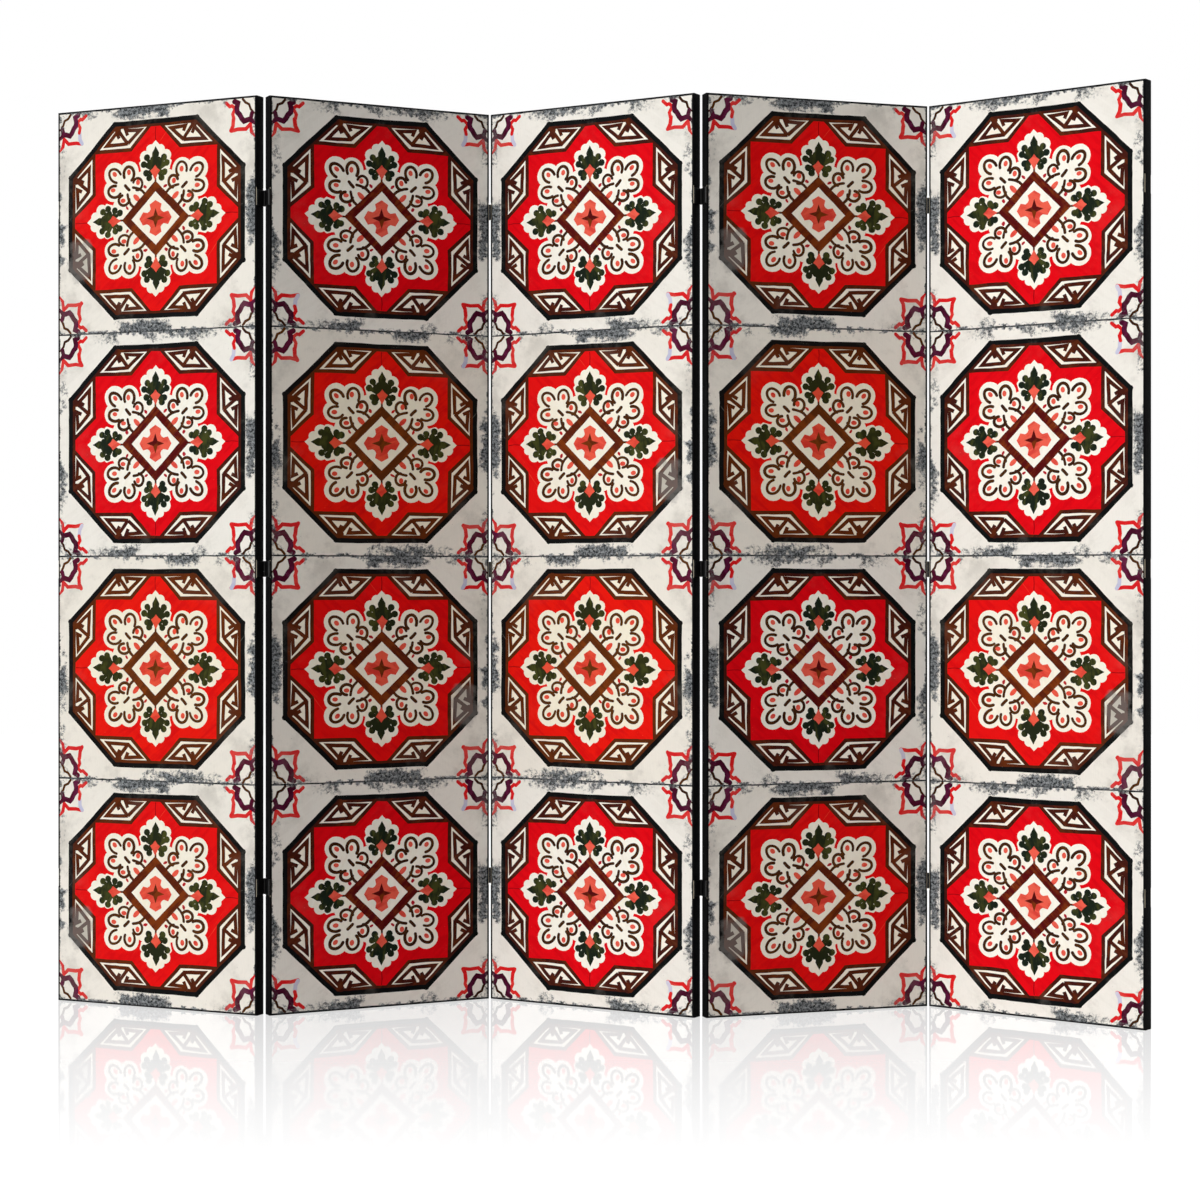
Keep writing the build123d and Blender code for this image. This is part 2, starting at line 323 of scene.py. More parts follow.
def make_ink_group(thread):
    """Hand-painted glaze printed on canvas: two tones, brush streaks, wear and dirt."""
    net, given, out = shader_group("painted_ink", INK_INPUTS, FINISH)
    flat = net.add("ShaderNodeUVMap", uv_map="tile").outputs[0]
    variant = net.add("ShaderNodeAttribute", attribute_name="variant").outputs["Fac"]
    lift = net.add("ShaderNodeCombineXYZ", {2: net.times(variant, 7.3)}).outputs[0]
    tile = net.vector("ADD", flat, lift)
    colour = net.blend(variant, given["Tone"], given["Other Tone"])
    turned = net.add("ShaderNodeVectorRotate", {"Vector": tile, "Angle": given["Angle"]}, rotation_type="Z_AXIS")
    brush = net.cloud(net.vector("MULTIPLY", turned.outputs[0], (3.0, 22.0, 1.0)), 1.0, 4.0, 0.6, 0.3)
    pool = net.cloud(tile, 5.0, 3.0, 0.6)
    streak = net.times(net.ramp(net.plus(brush, pool), 0.92, 1.22), given["Streaks"])
    colour = net.blend(streak, colour, given["Streak Tone"])
    age = net.group("tile_age", {"Tile": tile})
    worn = net.times(net.calc("MAXIMUM", age["Flecks"], age["Scratches"]), given["Wear"], clamp=True)
    colour = net.blend(worn, colour, given["Worn Tone"])
    colour = net.blend(net.times(net.times(age["Stain"], given["Dirt"]), 0.4), colour, STAIN_TONE)
    dirt = net.blend(net.ramp(net.cloud(tile, 40.0, 4.0, 0.75), 0.38, 0.66), DARK_DIRT, PALE_DIRT)
    colour = net.blend(net.times(age["Grime"], given["Dirt"]), colour, dirt)
    from_scar = net.vector("MULTIPLY", net.vector("SUBTRACT", flat, SCAR_PLACE), SCAR_FALL)
    far = net.add("ShaderNodeVectorMath", {0: from_scar}, operation="LENGTH").outputs[1]
    far = net.plus(far, net.times(net.cloud(tile, 9.0, 3.0, 0.7), 1.3))
    off_second = net.calc("ABSOLUTE", net.calc("SUBTRACT", variant, 0.5))
    scarred = net.calc("SUBTRACT", 1.0, net.times(off_second, 2.0))
    colour = net.blend(net.times(net.ramp(far, 1.75, 1.25, 0.0, 0.54), scarred), colour, SCAR_TONE)
    cloth = net.add("ShaderNodeUVMap", uv_map="cloth").outputs[0]
    weave = net.group("plain_weave", {"Cloth": cloth, "Pitch": thread})
    shade = net.ramp(weave["Thread"], 0.3, 0.7, 0.965, 1.0)
    grey = net.add("ShaderNodeCombineXYZ", {0: shade, 1: shade, 2: shade}).outputs[0]
    net.fill(out, {"Color": net.blend(1.0, colour, grey, "MULTIPLY"),
                   "Roughness": net.ramp(brush, 0.3, 0.7, 0.62, 0.78),
                   "Height": net.plus(weave["Height"], net.times(brush, 0.25))})


def make_cloth_group():
    """Plain dyed cloth: threads, faded stretches and lint."""
    inputs = {"Tone": "Color", "Faded Tone": "Color", "Pitch": "Float"}
    net, given, out = shader_group("dyed_cloth", inputs, FINISH)
    cloth = net.add("ShaderNodeUVMap", uv_map="cloth").outputs[0]
    weave = net.group("plain_weave", {"Cloth": cloth, "Pitch": given["Pitch"]})
    faded = net.ramp(net.cloud(cloth, 7.0, 4.0, 0.6), 0.4, 0.7, 0.0, 0.55)
    faded = net.plus(faded, net.times(weave["Thread"], 0.35), clamp=True)
    colour = net.blend(faded, given["Tone"], given["Faded Tone"])
    lint = net.ramp(net.cloud(cloth, 900.0, 1.0), 0.74, 0.8, 0.0, 0.5)
    net.fill(out, {"Color": net.blend(lint, colour, LINT_TONE),
                   "Roughness": net.ramp(weave["Thread"], 0.3, 0.7, 0.72, 0.88), "Height": weave["Height"]})


def make_metal_group():
    """Metal with fine working marks, worn where it is rubbed."""
    inputs = {"Place": "Vector", "Tone": "Color", "Rubbed Tone": "Color", "Rough": "Float", "Stretch": "Vector"}
    net, given, out = shader_group("worked_metal", inputs, {**FINISH, "Rubbed": "Float"})
    marks = net.cloud(net.vector("MULTIPLY", given["Place"], given["Stretch"]), 900.0, 4.0, 0.6)
    rubbed = net.ramp(net.cloud(given["Place"], 260.0, 4.0, 0.7), 0.6, 0.72)
    rough = net.plus(given["Rough"], net.times(net.calc("SUBTRACT", marks, 0.5), 0.3), clamp=True)
    net.fill(out, {"Color": net.blend(rubbed, given["Tone"], given["Rubbed Tone"]), "Roughness": rough,
                   "Height": marks, "Rubbed": rubbed})


def make_grain_group():
    """Pine grain: growth rings cut lengthwise, with pores and a few small knots."""
    inputs = {"Place": "Vector", "Along": "Vector", "Light Tone": "Color", "Dark Tone": "Color"}
    net, given, out = shader_group("pine_grain", inputs, FINISH)
    lengthwise = net.vector("MULTIPLY", given["Place"], given["Along"])
    wave = {"Vector": lengthwise, "Scale": 34.0, "Distortion": 5.0, "Detail": 3.0}
    rings = net.add("ShaderNodeTexWave", wave, wave_type="RINGS").outputs[1]
    pores = net.cloud(lengthwise, 700.0, 3.0, 0.6)
    knots = net.add("ShaderNodeTexVoronoi", {"Vector": lengthwise, "Scale": 9.0}).outputs["Distance"]
    dark = net.calc("MAXIMUM", net.times(rings, 0.6), net.ramp(knots, 0.1, 0.03))
    dark = net.plus(dark, net.times(net.calc("SUBTRACT", pores, 0.5), 0.4), clamp=True)
    net.fill(out, {"Color": net.blend(dark, given["Light Tone"], given["Dark Tone"]),
                   "Roughness": net.ramp(dark, 0.0, 1.0, 0.6, 0.75), "Height": pores})


# Materials

# The inks in painting order, with what they put into INK_INPUTS. A word stands for the setting of that name
INK_TABLE = {
    "cream_ground": ("cream", (243, 237, 225), (231, 226, 216), 0.3, 0.6, (58, 52, 46), 0.6, 1.0),
    "black_band": ("black", (12, 10, 8), (22, 27, 28), 0.35, 0.3, (160, 160, 152), 0.35, 0.5),
    "brown_band": ("brown", (88, 38, 10), (116, 52, 16), 0.45, 0.8, (214, 176, 120), 0.3, 0.3),
    "panel_cream": ((252, 247, 234), (249, 241, 220), (236, 225, 198), 0.35, 0.2, "brown", 0.15, 0.3),
    "star_red": ("red", (238, 22, 8), (204, 0, 16), 0.45, 0.75, (252, 128, 92), 0.45, 0.3),
    "crease_red": ((140, 0, 10), (160, 10, 8), "red", 0.3, 0.1, (250, 120, 90), 0.2, 0.0),
    "lobe_cream": ((254, 250, 238), (250, 242, 220), (240, 229, 202), 0.3, 1.2, "brown", 0.12, 0.2),
    "umber": ((54, 27, 12), (82, 44, 15), (112, 66, 26), 0.4, 0.5, (200, 170, 120), 0.15, 0.0),
    "salmon": ("salmon", (236, 84, 58), (206, 30, 34), 0.6, 0.4, (250, 190, 150), 0.3, 0.0),
    "leaf_green": ("green", (42, 44, 17), (84, 86, 36), 0.6, 1.4, (196, 190, 140), 0.15, 0.0),
    "frame_brown": ((84, 10, 12), (92, 44, 12), (150, 70, 18), 0.5, 0.8, (226, 180, 110), 0.35, 0.0),
    "crimson": ((186, 22, 40), (206, 40, 30), (140, 10, 30), 0.4, 0.2, "cream", 0.3, 0.0),
    "maroon": ("maroon", (84, 14, 40), (120, 40, 84), 0.4, 0.9, (200, 190, 200), 0.3, 0.5),
    "rose": ((222, 26, 30), (216, 36, 40), (238, 92, 80), 0.4, 0.3, "cream", 0.45, 0.5),
    "lavender": ((202, 202, 226), (190, 190, 214), (224, 214, 226), 0.5, 0.3, "cream", 0.4, 0.5),
    "grout": ((16, 20, 24), (24, 24, 24), (70, 78, 84), 0.35, 0.0, (150, 156, 160), 0.6, 0.6),
}
INKS = tuple(INK_TABLE)


def ink_value(value, settings):
    """A value of the table, ready for its socket."""
    if isinstance(value, str):
        return tuple(getattr(settings, value))
    return shown(*value) if isinstance(value, tuple) else value


def new_material(name):
    """The empty node tree of a new material."""
    material = bpy.data.materials.new(name)
    material.use_nodes = True
    material.node_tree.nodes.clear()
    return Net(material.node_tree)


def add_surface(net, finish, depth, strength, **others):
    """A Principled shader with a group's finish, the depth and strength of its relief, and other inputs."""
    bump = net.add("ShaderNodeBump", {"Height": finish["Height"], "Distance": depth, "Strength": strength})
    inputs = {"Base Color": finish["Color"], "Roughness": finish["Roughness"], "Normal": bump.outputs[0]}
    shader = net.add("ShaderNodeBsdfPrincipled", inputs)
    net.fill(shader.inputs, {name.replace("_", " "): value for name, value in others.items()})
    net.add("ShaderNodeOutputMaterial", {"Surface": shader.outputs[0]})


def make_ink(name, values):
    """One printed ink."""
    net = new_material(name)
    ink = net.group("painted_ink", zip(INK_INPUTS, values))
    add_surface(net, ink, 0.12 * MM, 0.6, Specular_IOR_Level=0.05)


def make_cloth(name, tone, faded, pitch, depth):
    """A plain dyed cloth."""
    net = new_material(name)
    cloth = net.group("dyed_cloth", {"Tone": tone, "Faded Tone": faded, "Pitch": pitch})
    add_surface(net, cloth, depth, 0.7, Specular_IOR_Level=0.04)


def make_metal(name, tone, rubbed, rough, stretch=(1, 1, 1), painted=True):
    """Painted or bare steel."""
    net = new_material(name)
    place = net.add("ShaderNodeTexCoord").outputs["Object"]
    metal = net.group("worked_metal", {"Place": place, "Tone": tone, "Rubbed Tone": rubbed, "Rough": rough,
                                       "Stretch": stretch})
    if painted:
        bare = net.times(metal["Rubbed"], 0.6)
        add_surface(net, metal, 0.03 * MM, 0.5, Specular_IOR_Level=0.25, Coat_Weight=0.08, Coat_Roughness=0.35,
                    Metallic=bare)
    else:
        add_surface(net, metal, 0.03 * MM, 0.5, Metallic=1.0)


def make_pine(name, turn, along):
    """Planed pine, its grain along one axis of a piece that is turned about the upright."""
    net = new_material(name)
    place = net.add("ShaderNodeTexCoord").outputs["Object"]
    own = net.add("ShaderNodeMapping", {"Vector": place, "Rotation": (0, 0, -turn)}).outputs[0]
    grain = net.group("pine_grain", {"Place": own, "Along": along, "Light Tone": shown(228, 196, 146),
                                     "Dark Tone": shown(176, 124, 74)})
    add_surface(net, grain, 0.1 * MM, 0.5)


def dress(node, finish):
    """Gives a CAD node its finish."""
    piece, material = frame["nodes"][node], bpy.data.materials[finish]
    for slot in piece.material_slots:
        slot.material = material
    if not piece.material_slots:
        piece.data.materials.append(material)


# Drawing in half-tile units: x to the right and y up, -1 to 1 from edge to edge

def arc(centre, radii, start, end, count, turn=0.0):
    """Points of an ellipse's arc, with angles in degrees."""
    cos, sin = math.cos(math.radians(turn)), math.sin(math.radians(turn))
    points = []
    for i in range(count):
        angle = math.radians(start + (end - start) * i / (count - 1))
        x, y = radii[0] * math.cos(angle), radii[1] * math.sin(angle)
        points.append((centre[0] + x * cos - y * sin, centre[1] + x * sin + y * cos))
    return points


def disc(x, y, radius, count=16):
    """Points of a circle."""
    return arc((x, y), (radius, radius), 0, 360 - 360 / count, count)


def quarter_turned(points, turns):
    """The points after a number of quarter turns about the tile's middle."""
    for _ in range(turns):
        points = [(-y, x) for x, y in points]
    return points


def dense(points, step=0.05, closed=True):
    """The outline with points added on its long edges, so that the brush can stray there."""
    result = []
    ends = points[1:] + points[:1] if closed else points[1:]
    for (ax, ay), (bx, by) in zip(points, ends):
        parts = max(1, round(math.hypot(bx - ax, by - ay) / step))
        result += [(ax + (bx - ax) * i / parts, ay + (by - ay) * i / parts) for i in range(parts)]
    return result if closed else result + [points[-1]]


def inset(points, distance):
    """A convex outline, anticlockwise, drawn in by a distance."""
    lines = []
    for (ax, ay), (bx, by) in zip(points, points[1:] + points[:1]):
        length = math.hypot(bx - ax, by - ay)
        nx, ny = -(by - ay) / length, (bx - ax) / length
        lines.append((nx, ny, nx * ax + ny * ay + distance))
    result = []
    for (a, b, c), (d, e, f) in zip(lines[-1:] + lines[:-1], lines):
        scale = a * e - b * d
        result.append(((c * e - b * f) / scale, (a * f - c * d) / scale))
    return result


# The least square of a mean normal's length, which keeps a stroke's sharp corners short
SHARPEST_CORNER = 0.12


def stroke(path, width, rounded=True):
    """The outline of a brush stroke along a path, mitred at its corners."""
    half, left, right = width / 2, [], []
    for i, (x, y) in enumerate(path):
        steps = []
        before, after = path[max(i - 1, 0)], path[min(i + 1, len(path) - 1)]
        for (ax, ay), (bx, by) in ((before, path[i]), (path[i], after)):
            length = math.hypot(bx - ax, by - ay)
            if length:
                steps.append((-(by - ay) / length, (bx - ax) / length))
        nx, ny = (sum(s[0] for s in steps) / len(steps), sum(s[1] for s in steps) / len(steps))
        reach = half / max(nx * nx + ny * ny, SHARPEST_CORNER)
        left.append((x + nx * reach, y + ny * reach))
        right.append((x - nx * reach, y - ny * reach))
    if not rounded:
        return left + right[::-1]

    def cap(end, toward):
        angle = math.degrees(math.atan2(toward[1] - end[1], toward[0] - end[0]))
        return arc(end, (half, half), angle - 36, angle - 144, 4)

    return left + cap(path[-1], left[-1]) + right[::-1] + cap(path[0], right[0])


def share_of(quad, s, t):
    """The point at shares s and t of a four-cornered field."""
    (ax, ay), (bx, by), (cx, cy), (dx, dy) = quad
    return ((1 - t) * ((1 - s) * ax + s * bx) + t * ((1 - s) * dx + s * cx),
            (1 - t) * ((1 - s) * ay + s * by) + t * ((1 - s) * dy + s * cy))


class Drawing:
    """Shapes of ink, painted over one another."""

    def __init__(self, seed):
        self.shapes = []
        self.hand = random.Random(seed)

    def paint(self, ink, points, turns=(0,), flips=(False,), stray=0.0):
        """Paints an outline once for each number of quarter turns, and mirrored where flips say so."""
        for flip in flips:
            for turn in turns:
                dx, dy = (self.hand.uniform(-stray, stray) for _ in range(2))
                copy = [(-x + dx if flip else x + dx, y + dy) for x, y in points]
                self.shapes.append((ink, quarter_turned(copy, turn)))

    def four(self, ink, points, stray=0.0):
        """Paints an outline at all four quarter turns."""
        self.paint(ink, points, turns=range(4), stray=stray)

    def eight(self, ink, points, stray=0.0):
        """Paints an outline and its mirror image at all four quarter turns."""
        self.paint(ink, points, turns=range(4), flips=(False, True), stray=stray)


# The octagon and its bands, the star and the frets, in half-tile units
OCTAGON_SIDE, OCTAGON_REACH, OCTAGON_TOP = 0.42, 0.888, 0.885
BLACK_BAND, BROWN_BAND, BROWN_LINE = 0.042, 0.026, 0.033
STAR_SQUARE, STAR_NOTCH, STAR_TIP, STAR_FLAT = 0.61, 0.24, 0.82, 0.045
FRET_LINE = 0.033
CREASE_CHANCE = 0.7


def draw_bands(drawing):
    """The octagon's black and brown bands, with a heavier touch of the brush at each corner."""
    half = [(OCTAGON_REACH, -OCTAGON_SIDE), (OCTAGON_REACH, OCTAGON_SIDE),
            (OCTAGON_SIDE, OCTAGON_TOP), (-OCTAGON_SIDE, OCTAGON_TOP)]
    outer = half + [(-x, -y) for x, y in half]
    middle = inset(outer, BLACK_BAND)
    drawing.paint("black_band", dense(outer))
    for x, y in inset(outer, BLACK_BAND / 2):
        drawing.paint("black_band", disc(x, y, BLACK_BAND * 0.62, 8), stray=0.004)
    drawing.paint("brown_band", dense(middle))
    return inset(middle, BROWN_BAND)


def draw_star(drawing, inner):
    """Eight cream panels with frets round the red star."""
    tip_side = (STAR_FLAT + BROWN_LINE * 1.35, inner[3][1])
    notch = (STAR_NOTCH + BROWN_LINE * 0.42, STAR_SQUARE + BROWN_LINE)
    corner = (sum(inner[2]) - STAR_SQUARE - BROWN_LINE, STAR_SQUARE + BROWN_LINE)
    quad = (tip_side, inner[2], corner, notch)
    drawing.eight("panel_cream", dense(list(quad)[::-1]))
    knob = share_of(quad, 1.0, -0.02)
    drawing.eight("brown_band", disc(knob[0] - 0.012, knob[1] - 0.006, 0.034, 9), stray=0.006)
    bar = [share_of(quad, s, t) for s, t in ((0.97, 0.0), (0.2, 0.77))]
    left = [share_of(quad, s, t) for s, t in ((0.2, 0.79), (0.14, 0.14), (0.64, 0.1), (0.43, 0.36))]
    right = [share_of(quad, s, t) for s, t in ((0.18, 0.79), (0.85, 0.83), (0.88, 0.2), (0.62, 0.5))]
    for path in (bar, left, right):
        fret = stroke(dense(path, 0.04, closed=False), FRET_LINE, rounded=False)
        drawing.eight("brown_band", fret, stray=0.003)
    eighth = [(STAR_FLAT, STAR_TIP), (STAR_NOTCH, STAR_SQUARE), (STAR_SQUARE, STAR_SQUARE),
              (STAR_SQUARE, STAR_NOTCH), (STAR_TIP, STAR_FLAT)]
    star = [point for turn in range(4) for point in quarter_turned(eighth[::-1], turn)]
    drawing.paint("star_red", dense(star))
    crease = stroke([(0.0, 0.69), (0.004, 0.76), (0.0, 0.815)], 0.007, rounded=False)
    for turn in range(4):
        if drawing.hand.random() < CREASE_CHANCE:
            drawing.paint("crease_red", crease, (turn,))


# Each loop: middle, radius along and across, angle of the opening, turn of the long axis
LOOPS = (
    ((0.262, 0.414), (0.066, 0.052), -76, 90),
    ((0.404, 0.404), (0.07, 0.052), -138, 45),
    ((0.176, 0.318), (0.054, 0.046), -45, 90),
)


def draw_lobes(drawing):
    """Cream flowers on the diagonals and points on the axes, with dark loops and salmon dots."""
    cream = "lobe_cream"
    drawing.paint(cream, disc(0, 0, 0.452, 40))
    drawing.four(cream, disc(0.35, 0.35, 0.07, 12))
    drawing.four(cream, disc(0.414, 0.414, 0.108, 20), stray=0.004)
    drawing.eight(cream, disc(0.268, 0.424, 0.099, 20), stray=0.004)
    drawing.four(cream, disc(0, 0.53, 0.1, 16))
    drawing.four(cream, dense([(0.06, 0.63), (0.0, 0.695), (-0.06, 0.63)], 0.03))
    for x, y, radius in ((0.047, 0.615, 0.044), (0.098, 0.553, 0.055), (0.108, 0.476, 0.056)):
        drawing.eight(cream, disc(x, y, radius, 14), stray=0.004)
    spike = stroke([(0.178, 0.545), (0.17, 0.495), (0.157, 0.452), (0.155, 0.44)], 0.018)
    drawing.eight("star_red", spike, stray=0.003)
    for middle, (along, across), opening, turn in LOOPS:
        copies = (False,) if middle[0] == middle[1] else (False, True)
        for flip in copies:
            for quarter in range(4):
                start = opening - turn + drawing.hand.uniform(44, 66)
                ring = arc(middle, (along, across), start, start + drawing.hand.uniform(238, 268), 15, turn)
                dot = arc((middle[0] + 0.006, middle[1] + 0.008), (0.026, 0.02), 0, 330, 11, turn)
                if flip:
                    ring, dot = ([(y, x) for x, y in shape] for shape in (ring, dot))
                line = stroke(ring, drawing.hand.uniform(0.023, 0.029))
                drawing.paint("umber", line, (quarter,), stray=0.005)
                drawing.paint("salmon", dot, (quarter,), stray=0.008)
    petal = [(0.112, 0.226), (0.135, 0.25), (0.165, 0.268), (0.196, 0.278), (0.226, 0.283)]
    drawing.four("umber", stroke(petal, 0.025), stray=0.004)
    drawing.four("umber", stroke([(y, x) for x, y in petal], 0.025), stray=0.004)
    drawing.four("salmon", arc((0.19, 0.192), (0.046, 0.022), 0, 330, 12, 45), stray=0.005)
    drawing.four("umber", stroke([(0.262, 0.268), (0.283, 0.288), (0.302, 0.31)], 0.028), stray=0.004)
    for x, y, tilt in ((0.1, 0.286, 40), (0.286, 0.104, 60)):
        drawing.four("crimson", arc((x, y), (0.02, 0.011), 0, 300, 6, tilt), stray=0.006)
        drawing.four("crimson", arc((-x, y), (0.02, 0.011), 0, 300, 6, -tilt), stray=0.006)


# Middles of a leaf's round lobes
LEAF_LOBES = ((0.085, 0.54), (0.114, 0.487), (0.064, 0.474), (0.09, 0.41), (0.066, 0.364), (0.03, 0.52))


def draw_leaves(drawing):
    """A spray of dark leaves with a salmon bud on each axis."""
    drawing.four("leaf_green", [(0.0, 0.64), (-0.017, 0.61), (-0.036, 0.575), (-0.03, 0.53), (-0.02, 0.46),
                                (0.02, 0.46), (0.034, 0.53), (0.033, 0.58), (0.014, 0.612)], stray=0.004)
    for x, y in LEAF_LOBES:
        drawing.eight("leaf_green", disc(x, y, 0.031, 10), stray=0.005)
        drawing.eight("leaf_green", stroke([(0.02, 0.43), (x, y)], 0.033, rounded=False), stray=0.002)
    drawing.four("umber", stroke([(0.0, 0.36), (0.0, 0.31)], 0.018), stray=0.002)
    bud = [(0.0, 0.48), (-0.022, 0.452), (-0.051, 0.43), (-0.024, 0.39), (0.0, 0.344),
           (0.024, 0.39), (0.051, 0.43), (0.022, 0.452)]
    drawing.four("salmon", bud, stray=0.003)


def draw_middle(drawing):
    """The diamond frame, its cross of petals and the dark four-pointed star."""
    for ink, reach in (("frame_brown", 0.338), ("lobe_cream", 0.24)):
        drawing.paint(ink, dense([(reach, 0), (0, reach), (-reach, 0), (0, -reach)]))
    petal = [(0.162, 0.0), (0.126, 0.06), (0.082, 0.05), (0.062, 0.062), (0.05, 0.082), (0.06, 0.126)]
    ray = [(0.088, 0.0), (0.022, 0.022)]
    cross, star = [], []
    for turn in range(4):
        cross += quarter_turned(petal, turn)
        star += quarter_turned(ray, turn)
    drawing.paint("salmon", cross)
    drawing.paint("frame_brown", star)


# Strokes of the corner ornament, in millimetres in from the tile's corner, before it is enlarged
CORNER_SCALE = 1.18
LAVENDER_CHANCE = 0.4
CORNER_STEM = ((0, 27), (10, 20), (13, 12), (20, 9), (25, 3))
CORNER_RING = ((1, 41), (10, 35), (15, 35), (23, 37), (27, 33), (31, 26), (35, 22), (36, 16), (34, 8),
               (40, 5))
CORNER_BRANCH = ((11, 35), (8, 25))
CORNER_PETAL = ((11, 42), (20, 50), (35, 49), (47, 51), (43, 44), (42, 33), (44, 25), (39, 16))
CORNER_HALVES = (((11, 42), (9, 55), (1, 62)), ((39, 16), (45, 11), (49, 12), (56, 6)))


def draw_corners(drawing):
    """A quarter of a rosette in each corner, so that four tiles make a whole one."""
    grow = 2 * CORNER_SCALE * MM
    for sx, sy in ((-1, -1), (-1, 1), (1, -1), (1, 1)):
        def mark(ink, path, width):
            placed = [(sx * (1 - x * grow / TILE_WIDE), sy * (1 - y * grow / TILE_TALL)) for x, y in path]
            drawing.paint(ink, stroke(placed, 2 * width * MM / TILE_WIDE), stray=0.004)

        faded = drawing.hand.random() < LAVENDER_CHANCE
        for half in CORNER_HALVES:
            mark("rose", half, 7)
        mark("rose", CORNER_PETAL[:4], 7.5)
        mark("lavender" if faded else "rose", CORNER_PETAL[3:6], 8)
        mark("rose", CORNER_PETAL[5:], 7)
        mark("umber", CORNER_STEM, 5)
        mark("maroon", CORNER_RING, 10.5)
        mark("maroon", CORNER_BRANCH, 9)


def grout_outlines(hand, half_joint):
    """Half of a dark joint along the tile's top and bottom, with a ragged edge."""
    edge, end, count = FIELD_HALF, TILE_TALL / 2, 40
    outlines = []
    for sign in (-1, 1):
        ragged = [(edge - 2 * edge * i / count, sign * (end - hand.uniform(0.6, 1.25) * half_joint))
                  for i in range(count + 1)]
        outlines.append([(-edge, sign * end), (edge, sign * end)] + ragged)
    return outlines


def draw_tile(seed, settings):
    """All shapes of one tile as (ink, outline in metres from the tile's middle), in painting order."""
    drawing = Drawing(seed)
    draw_star(drawing, draw_bands(drawing))
    draw_lobes(drawing)
    draw_leaves(drawing)
    draw_middle(drawing)
    draw_corners(drawing)
    edge, end = FIELD_HALF, TILE_TALL / 2
    hold = end - settings.grout * 0.3
    shapes = []
    for ink, shape in drawing.shapes:
        outline = [(x * TILE_WIDE / 2, y * end) for x, y in shape]
        shapes.append((ink, [(min(max(x, -edge), edge), min(max(y, -hold), hold)) for x, y in outline]))
    return shapes + [("grout", outline) for outline in grout_outlines(drawing.hand, settings.grout / 2)]


def within(points, outline):
    """Which of the points an outline winds round."""
    a = np.array(outline)
    b = np.roll(a, -1, axis=0)
    x, y = points[:, :1], points[:, 1:]
    side = (b[:, 0] - a[:, 0]) * (y - a[:, 1]) - (x - a[:, 0]) * (b[:, 1] - a[:, 1])
    rising = (a[:, 1] <= y) & (b[:, 1] > y) & (side > 0)
    falling = (a[:, 1] > y) & (b[:, 1] <= y) & (side < 0)
    return rising.sum(1) != falling.sum(1)


def face_inks(flat, faces, shapes):
    """Each face's ink: that of the last shape painted over its middle."""
    middles = np.array([sum((flat[v] for v in face), Vector((0, 0))) / len(face) for face in faces])
    result = np.zeros(len(faces), int)
    for ink, outline in shapes:
        low, high = np.min(outline, axis=0), np.max(outline, axis=0)
        near = np.flatnonzero(((middles >= low) & (middles <= high)).all(1))
        result[near[within(middles[near], outline)]] = INKS.index(ink)
    return result


# How a painted line strays, as waves to a metre, step between seeds and share: a tremble and a slow sway
WOBBLES = ((75, 3.7, 0.7), (14, 5.1, 1.5))

# Lines are held straight at the tile's edge and stray freely from this far in
LOOSE_FROM = 5 * MM


def make_stencil(name, shapes, seed, variant, mirrored, settings):
    """One tile as a flat mesh whose faces know their ink, facing the front."""
    edge, end = FIELD_HALF, TILE_TALL / 2
    points, edges = [], []
    for _, outline in [("cream_ground", [(-edge, -end), (edge, -end), (edge, end), (-edge, end)])] + shapes:
        numbers = range(len(points), len(points) + len(outline))
        edges += zip(numbers, [*numbers[1:], numbers[0]])
        points += [Vector(p) for p in outline]
    flat, _, faces, *_ = geometry.delaunay_2d_cdt(points, edges, [], 0, 1e-6, False)
    strayed = []
    for point in flat:
        loose = min(1.0, max(0.0, min(edge - abs(point.x), end - abs(point.y)) / LOOSE_FROM))
        waves = (noise.noise_vector((point.x * rate, point.y * rate, seed * step)) * share
                 for rate, step, share in WOBBLES)
        shift = sum(waves, Vector()) * settings.wobble * loose
        strayed.append((point.x + shift.x, point.y + shift.y))
    mesh = bpy.data.meshes.new(name)
    side = -1 if mirrored else 1
    order = [face[::side] for face in faces]
    mesh.from_pydata([(side * x, 0.0, y) for x, y in strayed], [], order)
    mesh.attributes.new("ink", "INT", "FACE")
    mesh.attributes.new("variant", "FLOAT", "FACE")
    mesh.uv_layers.new(name="tile")
    mesh.attributes["ink"].data.foreach_set("value", face_inks(flat, faces, shapes))
    mesh.attributes["variant"].data.foreach_set("value", [variant] * len(order))
    tile_map = mesh.uv_layers["tile"].data
    for corner in mesh.loops:
        x, y = strayed[corner.vertex_index]
        tile_map[corner.index].uv = (2 * x / TILE_WIDE, y / end)
    return bpy.data.objects.new(name, mesh)


# The painted variants: letter, seed and value of the variant attribute
VARIANTS = (("a", 11, 0.0), ("b", 23, 0.5), ("c", 37, 1.0))

# For each panel its tiles from the bottom up: variant and whether it is mirrored
TILE_PLAN = (
    (("b", True), ("c", True), ("a", True), ("b", True)),
    (("a", True), ("b", False), ("c", True), ("a", True)),
    (("a", False), ("c", False), ("b", False), ("a", False)),
    (("b", True), ("a", False), ("c", False), ("b", True)),
    (("a", False), ("b", False), ("a", True), ("a", False)),
)


def tile_name(letter, mirrored):
    """The name of a tile's stencil."""
    return f"tile_{letter}_{'mirrored' if mirrored else 'as_drawn'}"


